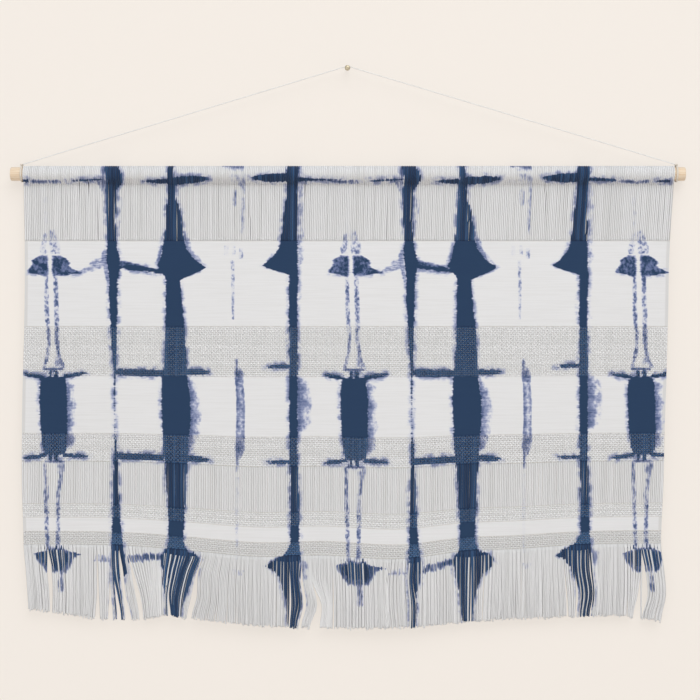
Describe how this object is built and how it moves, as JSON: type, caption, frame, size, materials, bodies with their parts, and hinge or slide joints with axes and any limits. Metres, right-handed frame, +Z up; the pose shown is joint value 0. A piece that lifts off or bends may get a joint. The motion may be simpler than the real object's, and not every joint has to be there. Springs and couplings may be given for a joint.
{
  "type": "shibori dyed cloth wall hanging on a wooden rod",
  "caption": "Handwoven cotton hanging with indigo fold-and-clamp dyeing, looped over a wooden rod, fringed at the hem, held by a cord over a wall nail.",
  "frame": {"origin": "where the nail enters the wall; the wall is the plane y = 0", "axes": "+Z up, +X to the right as seen from the front, +Y into the wall, so the front faces -Y"},
  "size_m": [0.827, 0.0381, 0.6905],
  "materials": {
    "rod_wood": "bare light wood, sanded smooth",
    "dyed_cloth": "white cotton in plain and open weave, clamp-dyed with indigo",
    "cord_cotton": "natural cotton twine",
    "nail_brass": "dull brass, domed head"
  },
  "bodies": {
    "root": {"rod": "rod_wood", "woven_cloth": "dyed_cloth", "fringe": "dyed_cloth", "hanging_cord": "cord_cotton", "cord_tie_left": "cord_cotton", "cord_tie_right": "cord_cotton", "wall_nail": "nail_brass"}
  },
  "joints": []
}
